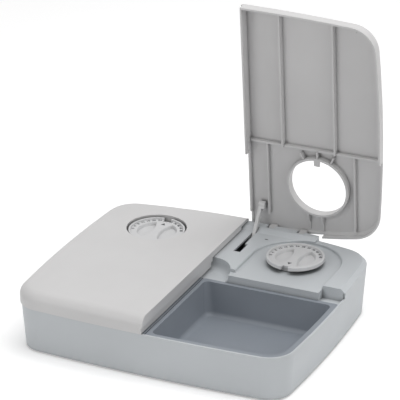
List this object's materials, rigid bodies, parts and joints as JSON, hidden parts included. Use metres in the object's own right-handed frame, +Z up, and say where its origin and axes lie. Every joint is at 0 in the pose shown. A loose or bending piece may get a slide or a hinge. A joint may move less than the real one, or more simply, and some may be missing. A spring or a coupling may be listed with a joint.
{
  "type": "automatic pet feeder",
  "caption": "Low two-meal automatic pet feeder with hinged lids over food trays, a timer dial at the back of each and a spring arm that lifts the lid; one lid closed, one open.",
  "frame": {"origin": "on the floor under the middle of the case outline; the underside of the base is 2 mm above it", "axes": "+X to the feeder's right seen from the front, +Y from the trays to the hinges at the back, +Z up"},
  "size_m": [0.32, 0.2836, 0.3312],
  "materials": {
    "case_plastic": "semi-matt light grey moulding",
    "lid_plastic": "semi-matt light grey moulding, silvery outside",
    "dial_plastic": "semi-matt light grey with dark printed numbers",
    "tray_plastic": "blue-grey food tray",
    "arm_plastic": "light grey",
    "inner_plastic": "dark grey inner case",
    "base_plastic": "grey textured base",
    "steel": "zinc-plated steel",
    "rubber": "black rubber",
    "cell_jacket": "plain dark cell jacket",
    "copper": "insulated copper lead"
  },
  "bodies": {
    "case": {"housing": "case_plastic", "base_plate": "base_plastic", "rubber_feet": "rubber", "base_screws": "steel", "hinge_pins_left": "steel", "meal_tray_left": "tray_plastic", "timer_case_left": "inner_plastic", "timer_cover_left": "inner_plastic", "timer_screws_left": "steel", "arm_pin_left": "steel", "arm_spring_left": "steel", "battery_left": "cell_jacket", "battery_contacts_left": "steel", "battery_leads_left": "copper", "hinge_pins_right": "steel", "timer_case_right": "inner_plastic", "timer_cover_right": "inner_plastic", "timer_screws_right": "steel", "arm_pin_right": "steel", "arm_spring_right": "steel", "battery_right": "cell_jacket", "battery_contacts_right": "steel", "battery_leads_right": "copper"},
    "lid_left_body": {"lid_left": "lid_plastic"},
    "dial_left_body": {"dial_left": "dial_plastic", "dial_spindle_left": "inner_plastic"},
    "arm_left_body": {"lift_arm_left": "arm_plastic"},
    "door_left_body": {"battery_door_left": "base_plastic"},
    "lid_right_body": {"lid_right": "lid_plastic"},
    "dial_right_body": {"dial_right": "dial_plastic", "dial_spindle_right": "inner_plastic"},
    "arm_right_body": {"lift_arm_right": "arm_plastic"},
    "door_right_body": {"battery_door_right": "base_plastic"},
    "tray_right_body": {"meal_tray_right": "tray_plastic"}
  },
  "joints": [
    {"name": "lid_left_hinge", "type": "hinge", "parent": "case", "child": "lid_left_body", "pos_m": [-0.08, 0.1345, 0.0595], "axis": [-1, 0, 0], "range_deg": [0, 84.4]},
    {"name": "arm_left_pivot", "type": "hinge", "parent": "case", "child": "arm_left_body", "pos_m": [-0.0144, 0.1135, 0.055], "axis": [-1, 0, 0], "range_deg": [0, 123.7]},
    {"name": "dial_left_turn", "type": "hinge", "parent": "case", "child": "dial_left_body", "pos_m": [-0.083, 0.07, 0.062], "axis": [0, 0, -1], "range_deg": [0, 345]},
    {"name": "door_left_slide", "type": "slide", "parent": "case", "child": "door_left_body", "axis": [0, 1, 0], "range_m": [0, 0.02]},
    {"name": "lid_right_hinge", "type": "hinge", "parent": "case", "child": "lid_right_body", "pos_m": [0.08, 0.1345, 0.0595], "axis": [-1, 0, 0], "range_deg": [-84.4, 0], "stiffness_Nm_per_rad": 0.1, "springref_deg": 28.65},
    {"name": "arm_right_pivot", "type": "hinge", "parent": "case", "child": "arm_right_body", "pos_m": [0.0144, 0.1135, 0.055], "axis": [-1, 0, 0], "range_deg": [-123.7, 0]},
    {"name": "dial_right_turn", "type": "hinge", "parent": "case", "child": "dial_right_body", "pos_m": [0.083, 0.07, 0.062], "axis": [0, 0, -1], "range_deg": [0, 345]},
    {"name": "door_right_slide", "type": "slide", "parent": "case", "child": "door_right_body", "axis": [0, 1, 0], "range_m": [0, 0.02]},
    {"name": "tray_right_lift", "type": "slide", "parent": "case", "child": "tray_right_body", "axis": [0, 0, 1], "range_m": [0, 0.055]}
  ],
  "couplings": [
    {"joint": "arm_left_pivot", "follows": "lid_left_hinge", "ratio": 1.4656},
    {"joint": "arm_right_pivot", "follows": "lid_right_hinge", "ratio": 1.4656}
  ]
}
